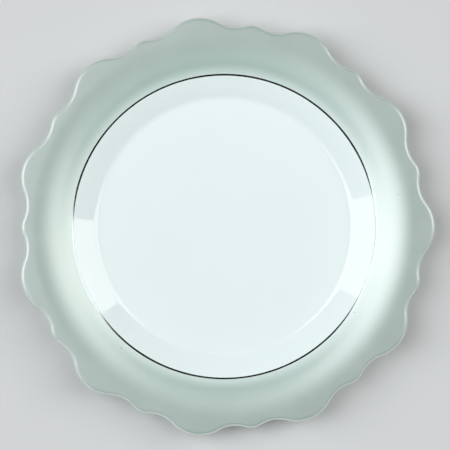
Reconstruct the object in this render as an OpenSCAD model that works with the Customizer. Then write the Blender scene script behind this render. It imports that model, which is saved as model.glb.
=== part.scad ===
// Scalloped dessert plate of glazed porcelain.
// Large and small lobes alternate round the rim, and a metal line marks the verge of the well.
// Lengths are in millimetres. The plate's axis is Z and its foot ring rests on Z = 0.

/* [Scalloped edge] */
// Diameter over the tips of the large lobes
plate_d = 210; // [195:1:240]
// Number of large lobes, with one small lobe between each two
lobe_count = 11; // [9:1:13]
// How far the tips of the small lobes lie inside those of the large lobes
lobe_step = 3.7; // [2:0.1:6]
// Radius of a large lobe in the outline
large_lobe_r = 19.1; // [16:0.1:22]
// Radius of a small lobe in the outline
small_lobe_r = 9; // [7:0.1:11]
// Radius of the hollow between two lobes
hollow_r = 17.2; // [14:0.1:22]

/* [Rolled lip] */
// Width of the roll on the upper side of the lip
roll_w = 1.4; // [1:0.1:3]
// Drop of the upper roll, from the border down to the nose
roll_h = 1.4; // [1:0.1:2]
// Width of the roll under the nose
under_roll_w = 1.4; // [0.8:0.1:3]

/* [Rim and well] */
// Width of the rim, from the verge out to the tips of the large lobes
rim_w = 29; // [24:0.1:34]
// Width of the cavetto, from its corner with the floor out to the verge
cavetto_w = 11.5; // [8:0.5:18]
// Height of the verge above the floor
well_depth = 7.4; // [5:0.1:11]
// Slope of the rim past the verge, in degrees
rim_slope = 22; // [12:0.5:26]
// Width of the straight climb past the verge, before the curve that brings the rim level
rim_straight_w = 2.5; // [1:0.5:8]
// Radius of the corner between the floor and the cavetto
floor_fillet_r = 6; // [3:0.5:12]
// Thickness of the porcelain
wall_t = 2.8; // [2.4:0.1:4]

/* [Foot ring] */
// Height of the foot ring under the porcelain of the floor
foot_h = 3; // [2.4:0.1:5]
// Distance from the edge of the flat floor in to the root of the foot ring
foot_inset = 1.4; // [1.3:0.1:8]
// Width of the foot ring at its root
foot_root_w = 4; // [3.4:0.1:6]
// Width of the bare edge that the plate stands on
foot_edge_w = 2; // [1.4:0.1:3]
// Radius of the fillets at the root of the foot ring
foot_fillet_r = 1; // [0.6:0.1:1.2]
// Height of the foot that is wiped bare of glaze
bare_h = 0.7; // [0.4:0.1:1.2]

/* [Glaze and metal line] */
// Thickness of the glaze
glaze_t = 0.25; // [0.15:0.05:0.4]
// Width of the metal line at the verge
line_w = 1; // [0.5:0.1:2]
// Thickness of the metal line
line_t = 0.1; // [0.05:0.01:0.2]

/* [Hidden] */
$fn = 96;

// Height by which the lobes stand proud of the round rim that they lap, and the hollows of the lobes
seam_step = 0.01;
// Lap of the round rim under the scalloped border
border_lap = 0.6;
// Shares of that lap at which the lobes and the hollows begin
lobe_start_share = 0.4;
hollow_start_share = 0.6;
// Share of a large lobe's radius that the webs and lobes of the border reach inward
web_share = 0.8;
// Angle by which a lobe runs on inside the hollows beside it
lobe_lap_angle = 1;
// Straight pieces in each rounded stretch of a section
roll_steps = 5;
under_steps = 5;
fillet_steps = 6;
rim_steps = 10;

// Outline: one large lobe on X, one small lobe half a pitch on, and the hollow between them
half_pitch = 180 / lobe_count;
large_at = [plate_d / 2 - large_lobe_r, 0];
small_at = (plate_d / 2 - lobe_step - small_lobe_r) * [cos(half_pitch), sin(half_pitch)];
to_large = large_lobe_r + hollow_r;
to_small = small_lobe_r + hollow_r;
hollow_at = circles_meet(large_at, to_large, small_at, to_small);
notch_r = norm(hollow_at) - hollow_r;

// Section of the well and the rim
verge_r = plate_d / 2 - rim_w;
floor_r = verge_r - cavetto_w;
border_r = notch_r - glaze_t - roll_w - 2 * border_lap;
rim_curve_w = border_r - rim_straight_w - verge_r;
rim_rise = rim_straight_w * tan(rim_slope) + rim_curve_w * tan(rim_slope / 2);
rim_arc_r = rim_curve_w / sin(rim_slope);
cavetto_slope = atan2(well_depth, cavetto_w);
flat_floor_r = floor_r - floor_fillet_r * tan(cavetto_slope / 2);

// Heights
under_z = foot_h;
floor_z = under_z + wall_t;
verge_z = floor_z + well_depth;
border_z = verge_z + rim_rise;
nose_z = border_z - roll_h;
under_roll_h = wall_t - roll_h;

// Section of the foot ring
foot_out_r = flat_floor_r - foot_inset;
foot_in_r = foot_out_r - foot_root_w;
foot_taper = atan2((foot_root_w - foot_edge_w) / 2, foot_h);

// Point where circles of radius ra about a and rb about b meet, on the right of the way from a to b
function circles_meet(a, ra, b, rb) =
    let (
        gap = norm(b - a),
        along = (ra * ra - rb * rb + gap * gap) / (2 * gap),
        aside = sqrt(ra * ra - along * along),
        u = (b - a) / gap
    )
    a + along * u + aside * [u.y, -u.x];

// Points of an arc about c
function arc(c, r, from, to, steps) =
    [for (i = [0:steps]) let (t = from + (to - from) * i / steps) c + r * [cos(t), sin(t)]];

// Point on the way from p to q, at a distance from p
function toward(p, q, distance) = p + (q - p) * distance / norm(q - p);

// List without its first item
function tail(list) = [for (i = [1:len(list) - 1]) list[i]];

// List from its last item to its first
function reversed(list) = [for (i = [len(list) - 1:-1:0]) list[i]];

// The well and the rim follow one line, the upper side of the porcelain. The other sides of the
// porcelain and the glaze run alongside it, raised by d.

// Floor and cavetto, from the axis to the foot of the cavetto's slope
function floor_line(d) = concat(
    [[0, floor_z + d]],
    arc([flat_floor_r, floor_z + floor_fillet_r], floor_fillet_r - d, -90, cavetto_slope - 90, fillet_steps)
);

// Corner of the verge
function verge_point(d) =
    let (
        lean = (cavetto_slope + rim_slope) / 2,
        mitre = d / cos((cavetto_slope - rim_slope) / 2)
    )
    [verge_r, verge_z] + mitre * [-sin(lean), cos(lean)];

// Curve of the rim, from the end of its straight climb past the verge to the level border
function rim_line(d) =
    arc([border_r, border_z - rim_arc_r], rim_arc_r + d, 90 + rim_slope, 90, rim_steps);

// End of the round part, a lap past the start of the level border
function border_end(d) = [border_r + border_lap, border_z + d];

// Whole line, from the axis to the end of the round part
function plate_line(d) = concat(floor_line(d), [verge_point(d)], rim_line(d), [border_end(d)]);

// Side of the foot ring that faces away from the axis (side = 1) or towards it (side = -1),
// from the underside down to a height, raised by d from the porcelain
function foot_side(side, d, height) =
    let (
        root = side > 0 ? foot_out_r : foot_in_r,
        lean = side * foot_taper,
        fillet = foot_fillet_r - d,
        reach = foot_fillet_r * tan(45 - foot_taper / 2),
        centre = [root + side * reach, under_z - foot_fillet_r],
        curve = arc(centre, fillet, 90, 90 + side * (90 - foot_taper), fillet_steps),
        low = curve[fillet_steps],
        drop = low.y - height
    )
    concat(curve, [[low.x - drop * tan(lean), height]]);

// Section of the whole porcelain round its axis, without the scalloped border
module porcelain_section() {
    foot_out = foot_side(1, 0, 0);
    foot_in = foot_side(-1, 0, 0);
    lower = concat(reversed(tail(plate_line(-wall_t))), foot_out, reversed(foot_in), [[0, under_z]]);
    polygon(concat(plate_line(0), lower));
}

// Rolled lip as points [distance in from the porcelain's edge, height], from the border to the nose.
// It is raised by d from the porcelain, and its nose is let down by drop.
function upper_roll(d, drop) = [
    for (i = [0:roll_steps])
        let (t = 90 * i / roll_steps)
        [roll_w - (roll_w + d) * sin(t), nose_z - drop + (roll_h + drop + d) * cos(t)]
];

// The same under the lip, from the underside of the border to the nose
function under_roll(d, drop) = [
    for (i = [0:under_steps])
        let (t = 180 - 90 * i / under_steps)
        [under_roll_w - (under_roll_w + d) * sin(t), nose_z - drop + (under_roll_h - drop + d) * cos(t)]
];

// Section of a border on an arc of radius r, from the lip in to far_r.
// The floor of the section is level, or runs along a second lip where one is given.
// Lobes bend about a centre inside the edge (side = 1), hollows about one outside it (side = -1).
module lip_section(lip, under, r, side, far_r) {
    outer = [for (p = lip) [r - side * p.x, p.y]];
    inner = [for (p = under) [r - side * p.x, p.y]];
    last = len(under) > 0 ? inner[0] : outer[len(outer) - 1];
    polygon(concat(reversed(outer), [[far_r, outer[0].y], [far_r, last.y]], inner));
}

// What lies outside the round part of the plate, from a share of the lap on
module beyond_border(start_share) {
    difference() {
        children();
        cylinder(r = border_r + start_share * border_lap, h = 2 * border_z);
    }
}

// Direction from one point to another
function heading(from, to) = atan2(to.y - from.y, to.x - from.x);

// Lobe that reaches a little way past the lines where the hollows beside it begin
module lobe(at, r, face, half_span, lip, under) {
    span = half_span + lobe_lap_angle;
    beyond_border(lobe_start_share)
        translate(at)
            rotate(face - span)
                rotate_extrude(angle = 2 * span)
                    lip_section(lip(seam_step), under(seam_step), r - glaze_t, 1, r * (1 - web_share));
}

module large_lobe(lip, under) {
    half_span = heading(large_at, hollow_at);
    lobe(large_at, large_lobe_r, 0, half_span, lip, under);
}

module small_lobe(lip, under) {
    half_span = half_pitch - heading(small_at, hollow_at);
    lobe(small_at, small_lobe_r, half_pitch, half_span, lip, under);
}

// Web between a large lobe and the small lobe after it, edged by the hollow
module hollow(lip, under) {
    from = heading(hollow_at, small_at);
    to = heading(hollow_at, large_at);
    span = to - from + (to < from ? 360 : 0);
    far_r = hollow_r + web_share * large_lobe_r;
    proud = 2 * seam_step;
    beyond_border(hollow_start_share)
        translate(hollow_at)
            rotate(from)
                rotate_extrude(angle = span)
                    lip_section(lip(proud), under(proud), hollow_r + glaze_t, -1, far_r);
}

// Scalloped border all round. Its lip and the floor of its section are given as functions of
// the height by which a stretch stands proud.
module scalloped_border(lip, under) {
    for (i = [0:lobe_count - 1])
        rotate(2 * half_pitch * i) {
            large_lobe(lip, under);
            small_lobe(lip, under);
            hollow(lip, under);
            mirror([0, 1, 0])
                hollow(lip, under);
        }
}

// Pressed porcelain with its foot ring
module porcelain_body() {
    color("whitesmoke") {
        rotate_extrude()
            porcelain_section();
        scalloped_border(
            function(proud) concat(upper_roll(proud, proud), tail(reversed(under_roll(proud, proud)))),
            function(proud) []
        );
    }
}

// Glossy white glaze of the floor and the cavetto
module well_glaze() {
    over = concat(floor_line(glaze_t), [verge_point(glaze_t)]);
    under = concat(floor_line(0), [verge_point(0)]);
    color("azure")
        rotate_extrude()
            polygon(concat(over, reversed(under)));
}

// Satin grey-green glaze of the rim, which runs over the lip to its nose
module rim_glaze() {
    over = concat([verge_point(glaze_t)], rim_line(glaze_t), [border_end(glaze_t)]);
    under = concat([verge_point(0)], rim_line(0), [border_end(0)]);
    color([0.68, 0.75, 0.72]) {
        rotate_extrude()
            polygon(concat(over, reversed(under)));
        scalloped_border(
            function(proud) upper_roll(glaze_t + proud, proud),
            function(proud) upper_roll(proud, proud)
        );
    }
}

// White glaze under the rim, from the nose of the lip to the wiped foot
module underside_glaze() {
    over = tail(plate_line(-wall_t));
    under = tail(plate_line(-wall_t - glaze_t));
    foot_inner = foot_side(1, 0, bare_h);
    foot_outer = foot_side(1, glaze_t, bare_h);
    color("ghostwhite") {
        rotate_extrude()
            polygon(concat(reversed(over), foot_inner, reversed(foot_outer), under));
        scalloped_border(
            function(proud) under_roll(glaze_t + proud, proud),
            function(proud) under_roll(proud, proud)
        );
    }
}

// White glaze inside the foot ring
module recess_glaze() {
    foot_inner = foot_side(-1, 0, bare_h);
    foot_outer = foot_side(-1, glaze_t, bare_h);
    color("ghostwhite")
        rotate_extrude()
            polygon(concat([[0, under_z]], foot_inner, reversed(foot_outer), [[0, under_z - glaze_t]]));
}

// Thin metal line painted over the joint of the two upper glazes
module platinum_line() {
    well_end = floor_line(glaze_t)[fillet_steps + 1];
    verge = verge_point(glaze_t);
    rim_end = rim_line(glaze_t)[0];
    inner = toward(verge, well_end, line_w / 2);
    outer = toward(verge, rim_end, line_w / 2);
    rise = line_t * [-sin(rim_slope), cos(rim_slope)];
    color("silver")
        rotate_extrude()
            polygon([inner, verge, outer, outer + rise, verge_point(glaze_t + line_t), inner + rise]);
}

porcelain_body();
well_glaze();
rim_glaze();
underside_glaze();
recess_glaze();
platinum_line();
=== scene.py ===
# %% [markdown]
# # A scalloped dessert plate
# The plate is pressed porcelain under four coats of glaze, with a fine platinum line at the verge.
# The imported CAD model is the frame: it fixes where everything is. Blender could dress the CAD
# meshes as they are, but their lips and curves are made of straight steps, and glossy glaze shows
# every step. So each piece is made again here, from the same sizes, with smooth sections.

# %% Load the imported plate
import math

import bmesh
import bpy
import numpy as np
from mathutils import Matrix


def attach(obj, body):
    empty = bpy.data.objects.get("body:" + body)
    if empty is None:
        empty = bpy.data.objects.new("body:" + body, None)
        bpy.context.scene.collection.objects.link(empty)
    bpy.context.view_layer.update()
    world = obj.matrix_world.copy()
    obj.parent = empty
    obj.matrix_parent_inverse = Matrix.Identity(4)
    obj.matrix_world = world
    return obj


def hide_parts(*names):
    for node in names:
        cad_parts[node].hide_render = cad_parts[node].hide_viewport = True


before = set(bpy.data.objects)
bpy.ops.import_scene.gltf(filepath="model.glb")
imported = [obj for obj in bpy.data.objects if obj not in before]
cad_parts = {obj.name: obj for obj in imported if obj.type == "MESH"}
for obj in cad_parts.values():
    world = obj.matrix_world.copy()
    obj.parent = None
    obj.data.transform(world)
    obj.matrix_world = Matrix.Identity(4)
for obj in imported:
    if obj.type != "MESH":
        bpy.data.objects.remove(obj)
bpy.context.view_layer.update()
MM_PER_M = 1000


print("CAD nodes:", sorted(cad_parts))

# %% [markdown]
# ## Sizes
# Blender works in metres and a potter in millimetres, so the sizes are written in millimetres
# and the finished points are scaled once, when a mesh is made. They repeat the CAD sizes:
# the large lobes lie on a 210 mm circle and the metal line on one of 152 mm. The roll is the
# rounded lip, and the border is the level stretch inside it, given where it is narrowest.

# %% Sizes of the plate, in millimetres
LOBES = 11
TIP_R, LOBE_STEP = 105.0, 3.7
LARGE_R, SMALL_R, HOLLOW_R = 19.1, 9.0, 17.2
ROLL_W, ROLL_H, UNDER_ROLL_W = 1.4, 1.4, 1.4
BORDER_W = 1.2
VERGE_R, FLOOR_R, WELL_DEPTH = 76.0, 64.5, 7.4
WALL, GLAZE = 2.8, 0.25
FOOT_H, FOOT_INSET, FOOT_ROOT_W, FOOT_EDGE_W, FOOT_FILLET = 3.0, 1.4, 4.0, 2.0, 1.0
BARE_H = 0.7
FLOOR_Z = FOOT_H + WALL
VERGE_Z = FLOOR_Z + WELL_DEPTH
FLOOR_FILLET = 6.0
RIM_SLOPE, RIM_STRAIGHT_W = math.radians(22), 2.5
print("The verge stands", round(VERGE_Z, 2), "mm above the table")

# %% [markdown]
# ## The scalloped edge
# Seen from above the edge is a chain of arcs: a large lobe, a hollow, a small lobe, a hollow.
# Neighbouring arcs touch in one common tangent, so the chain has no kinks. A curve object with
# handles could follow it, but true arcs are easy to work out: two circles that touch have their
# centres the sum of their radii apart, and that places the hollow's centre. Half a pitch is
# worked out, mirrored, and turned round the axis.


# %% Arcs of half a pitch
def turned(points, angle):
    """Points turned round the axis."""
    c, s = math.cos(angle), math.sin(angle)
    return points @ np.array([[c, s], [-s, c]])


def arc(centre, radius, start, stop, steps):
    """Points along an arc, with both its ends."""
    t = np.linspace(start, stop, steps + 1)
    return np.asarray(centre) + radius * np.stack([np.cos(t), np.sin(t)], 1)


def heading(a, b):
    """Direction from one point to another."""
    return math.atan2(b[1] - a[1], b[0] - a[0])


half_pitch = math.pi / LOBES
large_at = np.array([TIP_R - LARGE_R, 0.0])
small_at = (TIP_R - LOBE_STEP - SMALL_R) * np.array([math.cos(half_pitch), math.sin(half_pitch)])
to_large, to_small = LARGE_R + HOLLOW_R, SMALL_R + HOLLOW_R
gap = np.linalg.norm(small_at - large_at)
along = (to_large**2 - to_small**2 + gap**2) / (2 * gap)
u = (small_at - large_at) / gap
hollow_at = large_at + along * u + math.sqrt(to_large**2 - along**2) * np.array([u[1], -u[0]])

large_turn = heading(large_at, hollow_at)
small_turn = heading(small_at, hollow_at)
hollow_from = heading(hollow_at, large_at) % (2 * math.pi)
hollow_to = heading(hollow_at, small_at) % (2 * math.pi)
EDGE_STEPS, SMALL_STEPS = 15, 10
arcs = [
    (large_at, LARGE_R, 0, large_turn, EDGE_STEPS),
    (hollow_at, HOLLOW_R, hollow_from, hollow_to, EDGE_STEPS),
    (small_at, SMALL_R, small_turn, half_pitch, SMALL_STEPS),
]
print("The hollows' centres lie on a circle of", round(2 * np.linalg.norm(hollow_at), 1), "mm")


# %% Points and outward directions of the whole edge
def chain(stretches):
    """One line of points from stretches that share their end points."""
    return np.concatenate([points[:-1] for points in stretches[:-1]] + [stretches[-1]])


def all_round(half):
    """Half a pitch, mirrored, and repeated for every lobe."""
    back = turned(turned(half, -half_pitch) * [1, -1], half_pitch)[::-1]
    pitch = np.concatenate([half, back[1:-1]])
    return np.concatenate([turned(pitch, 2 * half_pitch * i) for i in range(LOBES)])


# A hollow's centre lies outside the plate, so on it outward is towards the centre.
OUTWARD = (1, -1, 1)
half_edge = chain([arc(*stretch) for stretch in arcs])
half_out = chain([side * arc((0, 0), 1, *stretch[2:]) for side, stretch in zip(OUTWARD, arcs)])
edge_out = all_round(half_out)
edge = all_round(half_edge) - GLAZE * edge_out
COLUMNS = len(edge)
notch_r = np.linalg.norm(edge, axis=1).min()
border_r = notch_r - ROLL_W - BORDER_W
print("Edge of the porcelain:", COLUMNS, "points, from", round(notch_r, 2), "mm at the notches")

# %% [markdown]
# ## The section
# A plate is thrown or pressed round an axis, so one line across it gives the floor, the curve of
# the wall and the rim. The glaze and the underside are that same line moved along its normal by d.
# A Solidify modifier would do that roughly, but here the offsets are exact: arcs change radius,
# and the verge is a corner that is mitred. The floor starts on a small ring round the axis, and
# a fan of triangles closes that ring later.

# %% Slopes and places of the section
POLE_R = 4.0
slope_in = math.atan2(WELL_DEPTH, VERGE_R - FLOOR_R)
rim_curve_w = border_r - RIM_STRAIGHT_W - VERGE_R
BORDER_Z = VERGE_Z + RIM_STRAIGHT_W * math.tan(RIM_SLOPE) + rim_curve_w * math.tan(RIM_SLOPE / 2)
NOSE_Z = BORDER_Z - ROLL_H
rim_arc_r = rim_curve_w / math.sin(RIM_SLOPE)
flat_r = FLOOR_R - FLOOR_FILLET * math.tan(slope_in / 2)
print("Slopes at the verge:", [round(math.degrees(slope), 1) for slope in (slope_in, RIM_SLOPE)])


# %% Lines of the section as [radius, height]
def verge_point(d):
    """The corner at the verge, moved out by d from both its slopes."""
    lean = (slope_in + RIM_SLOPE) / 2
    mitre = d / math.cos((slope_in - RIM_SLOPE) / 2)
    return np.array([[VERGE_R - mitre * math.sin(lean), VERGE_Z + mitre * math.cos(lean)]])


def wall_line(d, bend_steps=12, climb_steps=12):
    """Fillet at the edge of the floor and the straight wall up to the verge."""
    centre = (flat_r, FLOOR_Z + FLOOR_FILLET)
    bend = arc(centre, FLOOR_FILLET - d, -math.pi / 2, slope_in - math.pi / 2, bend_steps)
    share = np.linspace(0, 1, climb_steps + 1)[1:, None]
    return np.concatenate([bend, bend[-1] + share * (verge_point(d) - bend[-1])])


def floor_line(d, steps=13):
    """The level floor from the ring round the axis, and the wall round it."""
    radii = np.linspace(POLE_R, flat_r, steps + 1)[:-1]
    level = np.stack([radii, np.full(steps, FLOOR_Z + d)], 1)
    return np.concatenate([level, wall_line(d)])


def rim_line(d, climb_steps=4, bend_steps=24):
    """The rim from just past the verge to its level border."""
    top = math.pi / 2
    bend = arc((border_r, BORDER_Z - rim_arc_r), rim_arc_r + d, top + RIM_SLOPE, top, bend_steps)
    share = np.linspace(0, 1, climb_steps + 1)[1:-1, None]
    return np.concatenate([verge_point(d) + share * (bend[0] - verge_point(d)), bend])


def quarter_roll(width, height, d, steps):
    """The lip from the border to its nose, as [distance in from the edge, height]."""
    t = np.linspace(0, math.pi / 2, steps + 1)
    inward = width - (width + d) * np.sin(t)
    z = NOSE_Z + (height + math.copysign(d, height)) * np.cos(t)
    return np.stack([inward, z], 1)


print("The section has", len(floor_line(0)) + len(rim_line(0)), "points up to the border")

# %% [markdown]
# ## Spinning the section
# Inside the border every column of points runs along a radius. Past it the columns turn to run
# square to the scalloped edge, so that the roll of the lip keeps its width round every lobe.
# The Screw modifier can't change direction on the way, so the points are laid out as rows of
# an array, one row for each point of the section, and joined into quads. Pieces that don't reach
# the lip have a column at every degree.


# %% Rows of points round the plate
def round_rows(line, angles):
    """A row of points round the axis for each point of a section line."""
    around = np.stack([np.cos(angles), np.sin(angles)], 1)
    return [np.column_stack([r * around, np.full(len(angles), z)]) for r, z in line]


def lip_rows(roll):
    """A row along the scalloped edge for each point of the lip's roll."""
    return [np.column_stack([edge - x * edge_out, np.full(COLUMNS, z)]) for x, z in roll]


def joined(inner, outer, steps=4):
    """The round rows and the lip's rows, with the level border laid between them."""
    across = outer[0] - inner[-1]
    return inner + [inner[-1] + across * i / steps for i in range(1, steps)] + outer


roll_start = edge - ROLL_W * edge_out
scallop_angles = np.arctan2(roll_start[:, 1], roll_start[:, 0])
EVEN_COLUMNS = 360
even_angles = np.linspace(0, 2 * math.pi, EVEN_COLUMNS, endpoint=False)
along_radius = np.stack([np.cos(scallop_angles), np.sin(scallop_angles)], 1)
turn = np.degrees(np.arccos(np.clip((edge_out * along_radius).sum(1), -1, 1)))
print("Columns turn by at most", round(turn.max(), 1), "degrees past the border")

# %% [markdown]
# ## From rows to a piece
# Each coat and the porcelain itself is a closed skin: rows that meet again make a tube, and rows
# that start and end on the axis are closed by two fans. The faces are listed one by one, because
# no modifier knows where a coat ends. Normals are then turned outwards, and the shading is smooth
# apart from true corners.

# %% From rows to a closed mesh
SHARP = math.radians(40)


def plate_piece(name, rows, node, poles):
    """Closed mesh through rows of points, capped on the axis (poles) or joined into a tube."""
    points = np.array(rows)
    count, columns = points.shape[:2]
    vertices = points.reshape(-1, 3)
    a = np.arange(columns)
    b = (a + 1) % columns
    faces = []
    for i in range(count - 1 if poles else count):
        low, high = i * columns, (i + 1) % count * columns
        faces += np.stack([low + a, low + b, high + b, high + a], 1).tolist()
    if poles:
        ends = points[[0, -1]].mean(1)
        vertices = np.concatenate([vertices, ends])
        first, last = len(vertices) - 2, len(vertices) - 1
        start = (count - 1) * columns
        faces += [[first, int(j), int(i)] for i, j in zip(a, b)]
        faces += [[last, int(start + i), int(start + j)] for i, j in zip(a, b)]
    mesh = bpy.data.meshes.new(name)
    mesh.from_pydata((vertices / MM_PER_M).tolist(), [], faces)
    shape = bmesh.new()
    shape.from_mesh(mesh)
    bmesh.ops.recalc_face_normals(shape, faces=shape.faces)
    shape.to_mesh(mesh)
    shape.free()
    mesh.shade_smooth()
    mesh.set_sharp_from_angle(angle=SHARP)
    piece = bpy.data.objects.new(name, mesh)
    bpy.context.scene.collection.objects.link(piece)
    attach(piece, "root")
    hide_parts(node)
    print(name, len(mesh.vertices), "points,", len(mesh.polygons), "faces")
    return piece


# %% [markdown]
# ## The foot ring
# The plate stands on a turned ring. Its sides taper and run into the underside with a small
# fillet, and its edge is wiped bare of glaze before firing, so that it doesn't stick to the kiln
# shelf. A Bevel modifier could round the ring's corners, but as part of the section it follows
# the same sizes as the rest.

# %% Sides of the foot ring
EDGE_ROUND = 0.35
foot_out_r = flat_r - FOOT_INSET
foot_in_r = foot_out_r - FOOT_ROOT_W
taper = math.atan2((FOOT_ROOT_W - FOOT_EDGE_W) / 2, FOOT_H)


def foot_side(side, d, stop_z, bend_steps=8, steps=5):
    """From the underside down the outer (side = 1) or inner (side = -1) face of the foot."""
    root = foot_out_r if side > 0 else foot_in_r
    reach = FOOT_FILLET * math.tan(math.pi / 4 - taper / 2)
    centre = (root + side * reach, FOOT_H - FOOT_FILLET)
    down = math.pi / 2 + side * (math.pi / 2 - taper)
    bend = arc(centre, FOOT_FILLET - d, math.pi / 2, down, bend_steps)
    z = np.linspace(bend[-1, 1], stop_z, steps + 1)[1:]
    x = bend[-1, 0] - side * (bend[-1, 1] - z) * math.tan(taper)
    return np.concatenate([bend, np.stack([x, z], 1)])


def foot_edge(side, steps=5):
    """The foot's side with its lower corner rubbed round."""
    line = foot_side(side, 0, EDGE_ROUND)
    x = line[-1, 0]
    t = np.linspace(0, math.pi / 2, steps + 1)[1:]
    corner = np.stack([x - side * EDGE_ROUND * (1 - np.cos(t)), EDGE_ROUND * (1 - np.sin(t))], 1)
    return np.concatenate([line, corner])


print("Foot edge from", round(foot_edge(-1)[-1, 0], 2), "to", round(foot_edge(1)[-1, 0], 2), "mm")

# %% [markdown]
# ## The porcelain body
# All the other pieces lie on it. Only the bare edge of its foot shows, but it is made whole, as
# the solid it is, so that it can be exported and handled like the real blank. Its rows run from
# the middle of the floor over the lip, back underneath to the foot, and into the recess.

# %% Porcelain body
UNDER_LEAD = 0.046


def lower_line(d):
    """Underside from the edge of the flat floor, with a short level start, to the border."""
    start = [[flat_r - UNDER_LEAD, FLOOR_Z + d]]
    return np.concatenate([start, wall_line(d), rim_line(d)])


def recess_line(d, steps):
    """Level recess from the ring round the axis to just short of the foot's fillet."""
    radii = np.linspace(POLE_R, foot_side(-1, d, BARE_H)[0, 0], steps + 1)[:-1]
    return np.stack([radii, np.full(steps, FOOT_H - d)], 1)


upper_line = np.concatenate([floor_line(0), rim_line(0)])
over_lip = lip_rows(quarter_roll(ROLL_W, ROLL_H, 0, steps=12))
under_lip = lip_rows(quarter_roll(UNDER_ROLL_W, ROLL_H - WALL, 0, steps=8))
foot_line = np.concatenate([foot_edge(1), foot_edge(-1)[::-1], recess_line(0, steps=7)[::-1]])
porcelain_rows = joined(round_rows(upper_line, scallop_angles), over_lip)
porcelain_rows += joined(round_rows(lower_line(-WALL), scallop_angles), under_lip)[::-1][1:]
porcelain_rows += round_rows(foot_line, scallop_angles)
porcelain_body = plate_piece("porcelain_body_fired", porcelain_rows, "porcelain_body", True)

# %% [markdown]
# ## The white glaze of the well
# A glossy coat a quarter of a millimetre thick on the floor and the cavetto, the sloping wall
# round it. It could be a colour painted on the porcelain, but a real coat has a thickness and an
# edge of its own. So it is a closed skin with an upper and a lower side. It ends at the verge,
# under the metal line.

# %% White glaze of the well
well_upper = round_rows(floor_line(GLAZE), even_angles)
well_lower = round_rows(floor_line(0), even_angles)
well_glaze = plate_piece("well_glaze_coat", well_upper + well_lower[::-1], "well_glaze", True)

# %% [markdown]
# ## The satin glaze of the rim
# The grey-green coat starts at the verge, climbs the curve of the rim to its level border, and
# rolls over the lip down to its nose. Each point also stores how far it lies from the edge, as a
# mesh attribute. The finish reads that later, because glaze thins and pales where it breaks over
# an edge, and the scalloped edge isn't a circle that a radius could describe.


# %% Satin glaze of the rim
def rim_skin(d):
    """One side of the coat, from the verge to the nose of the lip."""
    line = np.concatenate([verge_point(d), rim_line(d)])
    lip = lip_rows(quarter_roll(ROLL_W, ROLL_H, d, steps=14))
    return joined(round_rows(line, scallop_angles), lip)


rim_rows = rim_skin(GLAZE) + rim_skin(0)[::-1]
rim_glaze = plate_piece("rim_glaze_coat", rim_rows, "rim_glaze", False)
from_edge = np.array([np.linalg.norm(row[:, :2] - edge, axis=1) for row in rim_rows]).ravel()
rim_glaze.data.attributes.new("from_edge", "FLOAT", "POINT").data.foreach_set("value", from_edge)
print("The rim is", round(from_edge.max(), 1), "mm wide at the large lobes")

# %% [markdown]
# ## The white glaze underneath
# One coat runs from the nose of the lip under the rim to the foot, and another fills the recess
# inside the foot ring. The bare foot parts them. A straight cut would be simpler to make, but an
# edge wiped by hand is never quite even, so the last rows are lifted by slow waves round the foot.

# %% Wiped edge of the glaze
WIPE_H = 0.8
WIPE_WAVES = [(0.09, 3, 1.0), (0.06, 7, 0.0), (0.04, 19, 2.0)]


def waver(angles, waves):
    """Sum of slow waves round the plate, each given as size, times round and start."""
    return sum(size * np.sin(times * angles + start) for size, times, start in waves)


def wiped(rows, angles, side):
    """Lowest rows of a foot's glaze, lifted unevenly along the foot's leaning face."""
    wave = waver(angles, WIPE_WAVES)
    moved = []
    for row in rows:
        lift = wave * np.clip((BARE_H + WIPE_H - row[:, 2]) / WIPE_H, 0, 1)
        radius = np.linalg.norm(row[:, :2], axis=1)
        spread = 1 + side * lift * math.tan(taper) / radius
        moved.append(np.column_stack([row[:, :2] * spread[:, None], row[:, 2] + lift]))
    return moved


print("The wiped edge wavers by up to", round(waver(even_angles, WIPE_WAVES).max(), 2), "mm")


# %% Glaze under the rim and in the recess
def under_skin(d):
    """One side of the coat, from the nose of the lip to the wiped foot."""
    lip = lip_rows(quarter_roll(UNDER_ROLL_W, ROLL_H - WALL, d, steps=10))
    under = joined(round_rows(lower_line(-WALL - d), scallop_angles), lip)[::-1]
    return under + wiped(round_rows(foot_side(1, d, BARE_H), scallop_angles), scallop_angles, 1)


def recess_skin(d):
    """One side of the coat, from the axis to the wiped foot."""
    level = round_rows(recess_line(d, steps=8), even_angles)
    return level + wiped(round_rows(foot_side(-1, d, BARE_H), even_angles), even_angles, -1)


under_rows = under_skin(GLAZE) + under_skin(0)[::-1]
underside_glaze = plate_piece(
    "underside_glaze_coat", under_rows, "underside_glaze", False)
recess_rows = recess_skin(0) + recess_skin(GLAZE)[::-1]
recess_glaze = plate_piece("recess_glaze_coat", recess_rows, "recess_glaze", True)

# %% [markdown]
# ## The platinum line
# A bander holds a loaded brush against the turning plate and lets the metal run out to a line
# about a millimetre wide. It lies half on the cavetto and half on the rim. Its width breathes a
# little on the way round. It could be painted in the glaze's colour, but a real metal film has
# its own edge and its own gloss, so it is a thin ribbon of its own, flat in the middle and
# thinner at its edges.

# %% Platinum line
LINE_HALF, LINE_T = 0.5, 0.015
BRUSH_WAVES = [(0.05, 2, 0.6), (0.04, 5, 0.0), (0.02, 23, 0.0)]
CROWN = [(-1, 0.3), (-0.85, 0.75), (-0.6, 1), (0, 1), (0.6, 1), (0.85, 0.75), (1, 0.3)]


def line_row(across, lift, width):
    """Row at a share across the line, -1 at its inner edge and 1 at its outer edge."""
    slope = slope_in if across < 0 else RIM_SLOPE
    corner = verge_point(GLAZE + lift)[0]
    r = corner[0] + across * width * math.cos(slope)
    z = corner[1] + across * width * math.sin(slope)
    return np.column_stack([r * np.cos(even_angles), r * np.sin(even_angles), z])


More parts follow.
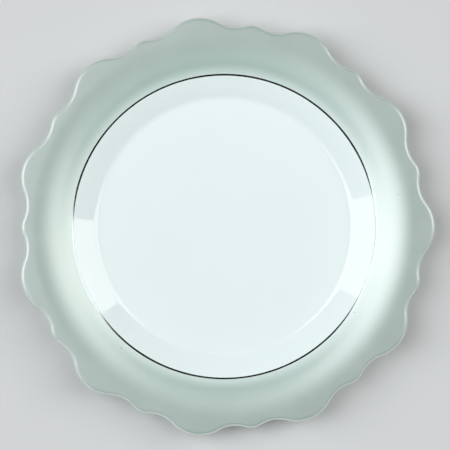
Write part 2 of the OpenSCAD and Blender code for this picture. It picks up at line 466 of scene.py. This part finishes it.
line_width = LINE_HALF * (1 + waver(even_angles, BRUSH_WAVES))
line_rows = [line_row(x, LINE_T * share, line_width) for x, share in CROWN]
line_rows += [line_row(x, 0, line_width) for x in (1, 0, -1)]
platinum_line = plate_piece("platinum_line_band", line_rows, "platinum_line", False)

# %% [markdown]
# ## Shader maths in Python
# A finish is a tree of nodes. Written out node by node it is long and hard to read, so a small
# class wraps an output socket. Adding, subtracting or multiplying such values, or raising them
# to a power, adds the Math nodes, and any other node comes from one method.


# %% Values
class Value:
    """An output socket. Arithmetic on it adds Math nodes to its tree."""

    def __init__(self, finish, socket):
        self.finish, self.socket = finish, socket

    def math(self, operation, *values):
        return self.finish.node("Math", {"operation": operation}, values)

    def __add__(self, other):
        return self.math("ADD", self, other)

    def __sub__(self, other):
        return self.math("SUBTRACT", self, other)

    def __rsub__(self, other):
        return self.math("SUBTRACT", other, self)

    def __mul__(self, other):
        return self.math("MULTIPLY", self, other)

    def __pow__(self, other):
        return self.math("POWER", self, other)

    def __rpow__(self, other):
        return self.math("POWER", other, self)

    __radd__, __rmul__ = __add__, __mul__

    def rise(self, low, high):
        """0 below low, 1 above high, and smooth between them (falls if low is the higher)."""
        span = {"From Min": low, "From Max": high}
        return self.finish.node("MapRange", {"interpolation_type": "SMOOTHSTEP"}, {"Value": self, **span})


# %% Finishes
class Finish:
    """A node tree with one way to add nodes."""

    def __init__(self, tree):
        self.tree = tree
        tree.nodes.clear()

    def node(self, kind, settings=None, sockets=(), out=0):
        """Any node. Its settings are set first, then its sockets. Its chosen output comes back."""
        made = self.tree.nodes.new("ShaderNode" + kind)
        for name, setting in (settings or {}).items():
            setattr(made, name, setting)
        pairs = sockets.items() if isinstance(sockets, dict) else enumerate(sockets)
        for key, value in pairs:
            if isinstance(value, Value):
                self.tree.links.new(value.socket, made.inputs[key])
            else:
                made.inputs[key].default_value = value
        return Value(self, made.outputs[out]) if len(made.outputs) else made

    def place(self):
        """Place on the piece, in metres."""
        return self.node("TexCoord", out="Object")

    def noise(self, size_mm, detail=2.0, roughness=0.5):
        """Noise from 0 to 1, with features of about that size."""
        sockets = {"Vector": self.place(), "Scale": MM_PER_M / size_mm}
        sockets.update({"Detail": detail, "Roughness": roughness})
        return self.node("TexNoise", {}, sockets, "Fac")

    def spots(self, spacing_mm, outer, inner):
        """1 on round spots about that far apart. Their radii are shares of that distance."""
        sockets = {"Vector": self.place(), "Scale": MM_PER_M / spacing_mm}
        return self.node("TexVoronoi", {}, sockets, "Distance").rise(outer, inner)

    def blend(self, share, first, second):
        """Colour between two colours. Sockets 6 and 7 are Mix's colours, and output 2 its result."""
        return self.node("Mix", {"data_type": "RGBA"}, {0: share, 6: first, 7: second}, 2)

    def bump(self, height, depth_mm):
        """Normal of a fine relief of that depth."""
        return self.node("Bump", {}, {"Height": height, "Strength": 1.0, "Distance": depth_mm / MM_PER_M})


# %% Colours and materials
def tone(red, green, blue):
    """Linear colour from the 0 to 255 numbers that a screen shows."""
    parts = [x / 255 for x in (red, green, blue)]
    return tuple(x / 12.92 if x <= 0.04045 else ((x + 0.055) / 1.055) ** 2.4 for x in parts) + (1.0,)


def glaze_finish(name, sockets_of, *pieces):
    """Material with one shader, whose sockets a function works out, on some pieces."""
    material = bpy.data.materials.new(name)
    material.use_nodes = True
    finish = Finish(material.node_tree)
    shader = finish.node("BsdfPrincipled", {}, sockets_of(finish))
    finish.node("OutputMaterial", {}, {"Surface": shader})
    for piece in pieces:
        piece.data.materials.clear()
        piece.data.materials.append(material)
    print(name, "has", len(material.node_tree.nodes), "nodes")


SCREEN_GREY = 128
print("A screen's", SCREEN_GREY, "is", round(tone(*3 * [SCREEN_GREY])[0], 3), "in linear light")

# %% [markdown]
# ## White glaze
# Fired white glaze is hard and glassy. Its surface isn't a perfect mirror: it has a faint
# ripple where it flowed, a pinhole here and there, and hair-fine cutlery marks that only change
# its gloss. The white leans a little to blue-green. Scratches could be modelled, but they are far
# finer than any mesh, so a stretched noise in the roughness stands for them.

# %% Finish of the white glaze
MARK_ANGLE, MARK_STRETCH, MARK_SCALE = 0.7, 26, 130.0


def white_glaze(f):
    cloud = f.noise(size_mm=38, detail=3)
    flow = f.noise(size_mm=7, detail=1)
    pinhole = f.spots(spacing_mm=9, outer=0.022, inner=0.012)
    stretch = {"Rotation": (0, 0, MARK_ANGLE), "Scale": (1, MARK_STRETCH, 1)}
    across = f.node("Mapping", {}, {"Vector": f.place(), **stretch})
    scratch = f.node("TexNoise", {}, {"Vector": across, "Scale": MARK_SCALE, "Detail": 4.0}, "Fac")
    marks = scratch.rise(0.60, 0.74)
    white = f.blend(cloud, tone(230, 242, 242), tone(234, 245, 244))
    return {
        "Base Color": f.blend(pinhole, white, tone(196, 204, 200)),
        "Roughness": 0.045 + 0.05 * marks + 0.02 * cloud,
        "IOR": 1.46,
        "Normal": f.bump(flow - 0.5 * pinhole, depth_mm=0.012),
    }


glaze_finish("white_glaze", white_glaze, well_glaze)

# %% [markdown]
# ## Satin rim glaze
# A satin glaze is full of tiny crystals that scatter the light, so its highlights are wide and soft.
# Its grey-green is cloudy, pale and dry where it thins over the lip, and carries a few iron specks.
# A band by the line is painted paler, as painted light, and the outer rim is painted darker, as
# painted shade, for the light and shade across the rim's curve. A painted picture of the whole rim
# would fit one light only, so widths from the line and from the edge keep these bands and the
# lip's colour on the plate and leave the gloss to the lamps.

# %% Finish of the satin glaze
# Widths from the line: the first band is painted paler, as painted light; the outer rim between the
# second and the third is painted darker, as painted shade.
PAINTED_LIGHT_W, PAINTED_SHADE_FROM, PAINTED_SHADE_TO = 6, 7, 19
LIP_OUTER, LIP_INNER = 0.2, 1.3


def satin_rim(f):
    cloud = f.noise(size_mm=16, detail=4, roughness=0.6)
    grain = f.noise(size_mm=0.9, detail=2)
    speck = f.spots(spacing_mm=13, outer=0.035, inner=0.018)
    from_edge_mm = f.node("Attribute", {"attribute_name": "from_edge"}, {}, "Fac")
    x, y = (f.node("SeparateXYZ", {}, {0: f.place()}, axis) for axis in ("X", "Y"))
    radius = (x * x + y * y) ** 0.5 * MM_PER_M
    # Painted light: mask of the band by the line, whose colour is painted paler.
    painted_light_band = radius.rise(VERGE_R + PAINTED_LIGHT_W, VERGE_R)
    # Painted shade: mask of the outer rim, whose colour is painted darker.
    painted_shade_band = radius.rise(VERGE_R + PAINTED_SHADE_FROM, VERGE_R + PAINTED_SHADE_TO)
    thin = from_edge_mm.rise(LIP_INNER, LIP_OUTER)
    # The paler colour by the line is a painted highlight, not the glaze's own colour.
    body = f.blend(painted_light_band, tone(167, 191, 183), tone(208, 227, 221))
    # The darker colour on the outer rim is painted shade, not glaze lying thick.
    body = f.blend(painted_shade_band, body, tone(134, 156, 148))
    body = f.blend(0.35 * cloud, body, tone(181, 199, 192))
    body = f.blend(0.6 * thin, body, tone(203, 215, 209))
    return {
        "Base Color": f.blend(0.75 * speck, body, tone(84, 78, 66)),
        "Roughness": 0.34 + 0.06 * cloud + 0.05 * grain - 0.06 * thin + 0.1 * painted_light_band,
        "IOR": 1.78,
        "Specular IOR Level": 1.0,
        "Coat Weight": 1.0 - 0.55 * painted_light_band,
        "Coat Roughness": 0.3,
        "Coat IOR": 1.6,
        "Normal": f.bump(grain + 0.6 * cloud, depth_mm=0.006),
    }


glaze_finish("satin_rim_glaze", satin_rim, rim_glaze)

# %% [markdown]
# ## Underside glaze and bare foot
# The same white glaze underneath is a touch duller, because it is thinner and gets rubbed. The
# foot has no glaze at all: fired porcelain is fine, matt and slightly warm, and greys where it
# has slid over tables. The wear needs no painting by hand, because it stays on the lowest part
# of the foot, and the height tells where that is.

# %% Finishes of the underside and the foot
WORN_TO_M = 0.0004


def underside_white(f):
    cloud = f.noise(size_mm=24, detail=3)
    flow = f.noise(size_mm=6, detail=1)
    return {
        "Base Color": f.blend(cloud, tone(226, 236, 235), tone(232, 241, 239)),
        "Roughness": 0.09 + 0.06 * cloud,
        "IOR": 1.52,
        "Normal": f.bump(flow, depth_mm=0.014),
    }


def bare_foot(f):
    grit = f.noise(size_mm=0.5, detail=4, roughness=0.7)
    rub = f.noise(size_mm=9, detail=2).rise(0.5, 0.7)
    z = f.node("SeparateXYZ", {}, {0: f.place()}, "Z")
    worn = rub * z.rise(WORN_TO_M, 0.0)
    clay = f.blend(grit, tone(224, 220, 210), tone(236, 233, 225))
    return {
        "Base Color": f.blend(0.5 * worn, clay, tone(176, 172, 165)),
        "Roughness": 0.72 + 0.2 * grit,
        "IOR": 1.5,
        "Normal": f.bump(grit, depth_mm=0.03),
    }


glaze_finish("underside_white_glaze", underside_white, underside_glaze, recess_glaze)
glaze_finish("bare_porcelain", bare_foot, porcelain_body)

# %% [markdown]
# ## Platinum
# The fired film is metal, so what shows in it is what it mirrors: dark where it faces the dark of
# the room, bright where it faces a lamp. A grey paint could be tuned to the dark stretches, but
# it would stay dark in the lamps' reflections too. Fine brush marks and cloth have dulled the
# metal in places.


# %% Finish of the platinum line
def platinum(f):
    wear = f.noise(size_mm=14, detail=3)
    hair = f.noise(size_mm=0.6, detail=2)
    return {
        "Base Color": f.blend(wear, tone(134, 142, 142), tone(148, 155, 154)),
        "Metallic": 1.0,
        "Roughness": 0.1 + 0.06 * wear,
        "Normal": f.bump(hair, depth_mm=0.001),
    }


glaze_finish("platinum", platinum, platinum_line)

# %% [markdown]
# ## The table
# The plate lies on a plain pale table, which carries its shadow and lights its underside. A
# square plane would do, but a wide disc shows no corners in low views.

# %% Pale table
TABLE_R, TABLE_SIDES = 2.6, 64
table_mesh = bpy.data.meshes.new("table")
rim_of_table = arc((0, 0), TABLE_R, 0, 2 * math.pi, TABLE_SIDES)[:-1]
table_mesh.from_pydata([(x, y, 0.0) for x, y in rim_of_table], [], [list(range(TABLE_SIDES))])
table = bpy.data.objects.new("table", table_mesh)
bpy.context.scene.collection.objects.link(table)


def pale_table(f):
    cloud = f.noise(size_mm=90, detail=2)
    return {
        "Base Color": f.blend(cloud, tone(206, 208, 208), tone(210, 212, 212)),
        "Roughness": 0.85,
    }


glaze_finish("pale_table", pale_table, table)

# %% [markdown]
# ## The room
# Glossy glaze and metal mirror the whole room, so the room is part of the look. One even grey all
# round would be simpler, but then the metal line would be grey all round too. Here the room is
# dim from a little above the table to the ceiling, and a soft glow lies along the horizon. The
# glow is stronger on one side and lights the wall of the well from there. Below the table's level
# the room is even, which shows only when the table is hidden.

# %% Dim room with a glow along the horizon
HORIZON, SWING, DIM, CEILING, UNDER = 1.45, 1.3, 0.07, 0.1, 0.6
BRIGHT_SIDE = math.radians(240)
GLOW_FADES, CEILING_FROM, TABLE_LEVEL = (0.10, 0.26), (0.80, 0.93), (-0.04, 0.0)
ROOM_TINT = (0.985, 1.0, 1.0, 1)
world = bpy.data.worlds.new("room")
bpy.context.scene.world = world
world.use_nodes = True
room = Finish(world.node_tree)
sight = room.node("TexCoord", out="Generated")
east, north, height = (room.node("SeparateXYZ", {}, {0: sight}, axis) for axis in ("X", "Y", "Z"))
low = HORIZON + SWING * (math.cos(BRIGHT_SIDE) * east + math.sin(BRIGHT_SIDE) * north)
glow = low + (DIM - low) * height.rise(*GLOW_FADES) + (CEILING - DIM) * height.rise(*CEILING_FROM)
glow = UNDER + (glow - UNDER) * height.rise(*TABLE_LEVEL)
sky = room.node("Background", {}, {"Color": ROOM_TINT, "Strength": glow})
room.node("OutputWorld", {}, {"Surface": sky})
print("The room has", len(world.node_tree.nodes), "nodes")

# %% [markdown]
# ## The softboxes
# A tall softbox leans over the table on each side. The wall of the well slopes by 33 degrees, so
# from straight above it mirrors what stands about 25 degrees high across the table: the lower
# half of a softbox, cut off sharply at both sides. The rim is flatter and mirrors the upper half,
# spread wide by its satin. Each softbox is two panels, one above the other, because the halves
# differ in brightness. Their places are given by the angles at which the plate sees them, and an
# area lamp's energy is its radiance times pi times its area.


# %% Softboxes left and right
def softbox(name, azimuth, foot, lean, width, low, high, radiance, colour):
    """Panel between two angles above the table, on a board that leans in from its foot."""
    a, tilt = math.radians(azimuth), math.radians(lean)
    angles = [math.radians(angle) for angle in (low, high)]
    lower, upper = (foot * math.sin(e) / math.cos(e - tilt) for e in angles)
    middle, length = (lower + upper) / 2, upper - lower
    away = foot - middle * math.sin(tilt)
    lamp = bpy.data.lights.new(name, "AREA")
    lamp.shape, lamp.size, lamp.size_y = "RECTANGLE", width, length
    lamp.energy = radiance * math.pi * width * length
    lamp.color = colour
    holder = bpy.data.objects.new(name, lamp)
    holder.location = (away * math.cos(a), away * math.sin(a), middle * math.cos(tilt))
    holder.rotation_euler = (math.pi / 2 - tilt, 0, a + math.pi / 2)
    holder.visible_camera = False
    bpy.context.scene.collection.objects.link(holder)
    print(name, "is", round(length, 2), "m long and gives", round(lamp.energy, 2), "W")


LEFT = {"azimuth": 172, "foot": 3.08, "lean": 42, "width": 1.49}
RIGHT = {"azimuth": 16.2, "foot": 2.59, "lean": 32, "width": 1.33}
COOL, NEUTRAL, WARM = (0.985, 0.995, 1.02), (1.0, 1.0, 0.995), (1.005, 1.0, 0.975)
softbox("left_lower_softbox", **LEFT, low=22.5, high=42, radiance=3.3, colour=COOL)
softbox("left_upper_softbox", **LEFT, low=42, high=80, radiance=4.05, colour=COOL)
softbox("right_lower_softbox", **RIGHT, low=22.5, high=40, radiance=4.1, colour=NEUTRAL)
softbox("right_upper_softbox", **RIGHT, low=40, high=76, radiance=3.1, colour=WARM)

# %% [markdown]
# ## Camera
# The photograph looks straight down on the plate. An orthographic camera would flatten it
# altogether. A long lens from well above keeps the lip and the floor at nearly the same scale,
# as they are there. The plate's centre lies a pixel off the middle of the picture.

# %% Camera straight above
IMAGE, MM_PER_PIXEL, CAMERA_H, SENSOR_W = 450, 0.4988, 1.6, 36
CENTRE_PX = (224.4, 226.6)
right_px, up_px = IMAGE / 2 - CENTRE_PX[0], CENTRE_PX[1] - IMAGE / 2
span = IMAGE * MM_PER_PIXEL / MM_PER_M
camera_data = bpy.data.cameras.new("above")
camera_data.sensor_width = SENSOR_W
camera_data.lens = SENSOR_W * (CAMERA_H - NOSE_Z / MM_PER_M) / span
camera = bpy.data.objects.new("above", camera_data)
camera.location = (right_px * MM_PER_PIXEL / MM_PER_M, up_px * MM_PER_PIXEL / MM_PER_M, CAMERA_H)
bpy.context.scene.collection.objects.link(camera)
bpy.context.scene.camera = camera
bpy.context.scene.view_settings.view_transform = "Standard"
print("Lens", round(camera_data.lens, 1), "mm")
